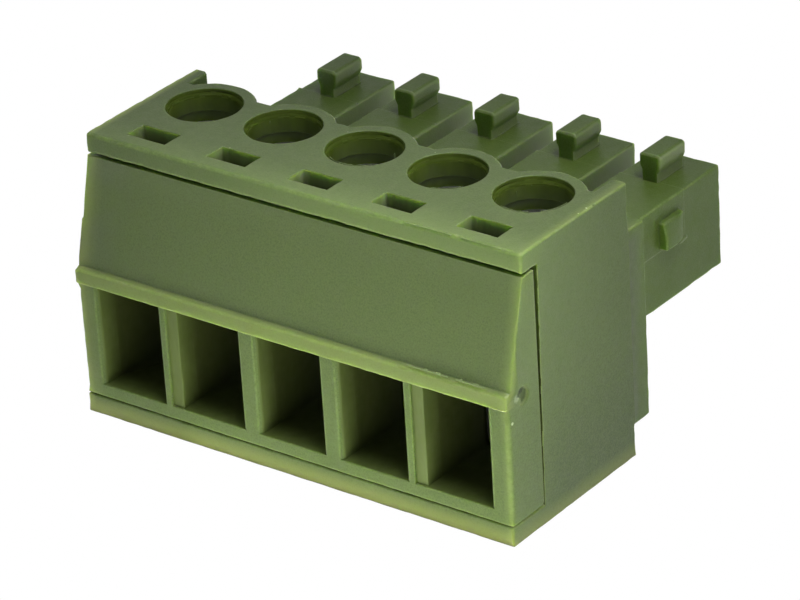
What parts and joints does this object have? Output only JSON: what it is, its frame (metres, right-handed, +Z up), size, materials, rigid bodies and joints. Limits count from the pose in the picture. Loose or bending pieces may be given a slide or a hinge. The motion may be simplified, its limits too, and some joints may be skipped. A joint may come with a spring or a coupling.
{
  "type": "pluggable terminal block",
  "caption": "Pluggable screw terminal block with rising cage clamps: wires enter in front, the fingered nose behind plugs into a board header.",
  "frame": {"origin": "on the base, under the middle of the row of screw axes", "axes": "+X along the row of poles, +Y the way the plug goes into its header, +Z up towards the screwdriver holes"},
  "size_m": [0.02, 0.0155, 0.0113],
  "materials": {
    "plastic": "satin moulded polyamide with a fine grain",
    "screw_steel": "bright zinc plated",
    "cage_steel": "zinc plated, folded from strip",
    "contact_metal": "tin plated bronze sheet"
  },
  "bodies": {
    "block": {"housing": "plastic", "front_cover": "plastic", "contact_1": "contact_metal", "contact_2": "contact_metal", "contact_3": "contact_metal", "contact_4": "contact_metal", "contact_5": "contact_metal"},
    "screw_1": {"screw_1": "screw_steel"},
    "cage_1": {"cage_1": "cage_steel"},
    "screw_2": {"screw_2": "screw_steel"},
    "cage_2": {"cage_2": "cage_steel"},
    "screw_3": {"screw_3": "screw_steel"},
    "cage_3": {"cage_3": "cage_steel"},
    "screw_4": {"screw_4": "screw_steel"},
    "cage_4": {"cage_4": "cage_steel"},
    "screw_5": {"screw_5": "screw_steel"},
    "cage_5": {"cage_5": "cage_steel"}
  },
  "joints": [
    {"name": "screw_1_turn", "type": "hinge", "parent": "block", "child": "screw_1", "pos_m": [-0.00762, 0, 0.0096], "axis": [0, 0, -1], "range_deg": [0, 2160]},
    {"name": "screw_2_turn", "type": "hinge", "parent": "block", "child": "screw_2", "pos_m": [-0.00381, 0, 0.0096], "axis": [0, 0, -1], "range_deg": [0, 2160]},
    {"name": "screw_3_turn", "type": "hinge", "parent": "block", "child": "screw_3", "pos_m": [0, 0, 0.0096], "axis": [0, 0, -1], "range_deg": [0, 2160]},
    {"name": "screw_4_turn", "type": "hinge", "parent": "block", "child": "screw_4", "pos_m": [0.00381, 0, 0.0096], "axis": [0, 0, -1], "range_deg": [0, 2160]},
    {"name": "screw_5_turn", "type": "hinge", "parent": "block", "child": "screw_5", "pos_m": [0.00762, 0, 0.0096], "axis": [0, 0, -1], "range_deg": [0, 2160]},
    {"name": "cage_1_lift", "type": "slide", "parent": "block", "child": "cage_1", "axis": [0, 0, 1], "range_m": [0, 0.0024]},
    {"name": "cage_2_lift", "type": "slide", "parent": "block", "child": "cage_2", "axis": [0, 0, 1], "range_m": [0, 0.0024]},
    {"name": "cage_3_lift", "type": "slide", "parent": "block", "child": "cage_3", "axis": [0, 0, 1], "range_m": [0, 0.0024]},
    {"name": "cage_4_lift", "type": "slide", "parent": "block", "child": "cage_4", "axis": [0, 0, 1], "range_m": [0, 0.0024]},
    {"name": "cage_5_lift", "type": "slide", "parent": "block", "child": "cage_5", "axis": [0, 0, 1], "range_m": [0, 0.0024]}
  ],
  "couplings": [
    {"joint": "screw_1_turn", "follows": "cage_1_lift", "rad_per_m": 15708},
    {"joint": "screw_2_turn", "follows": "cage_2_lift", "rad_per_m": 15708},
    {"joint": "screw_3_turn", "follows": "cage_3_lift", "rad_per_m": 15708},
    {"joint": "screw_4_turn", "follows": "cage_4_lift", "rad_per_m": 15708},
    {"joint": "screw_5_turn", "follows": "cage_5_lift", "rad_per_m": 15708}
  ]
}
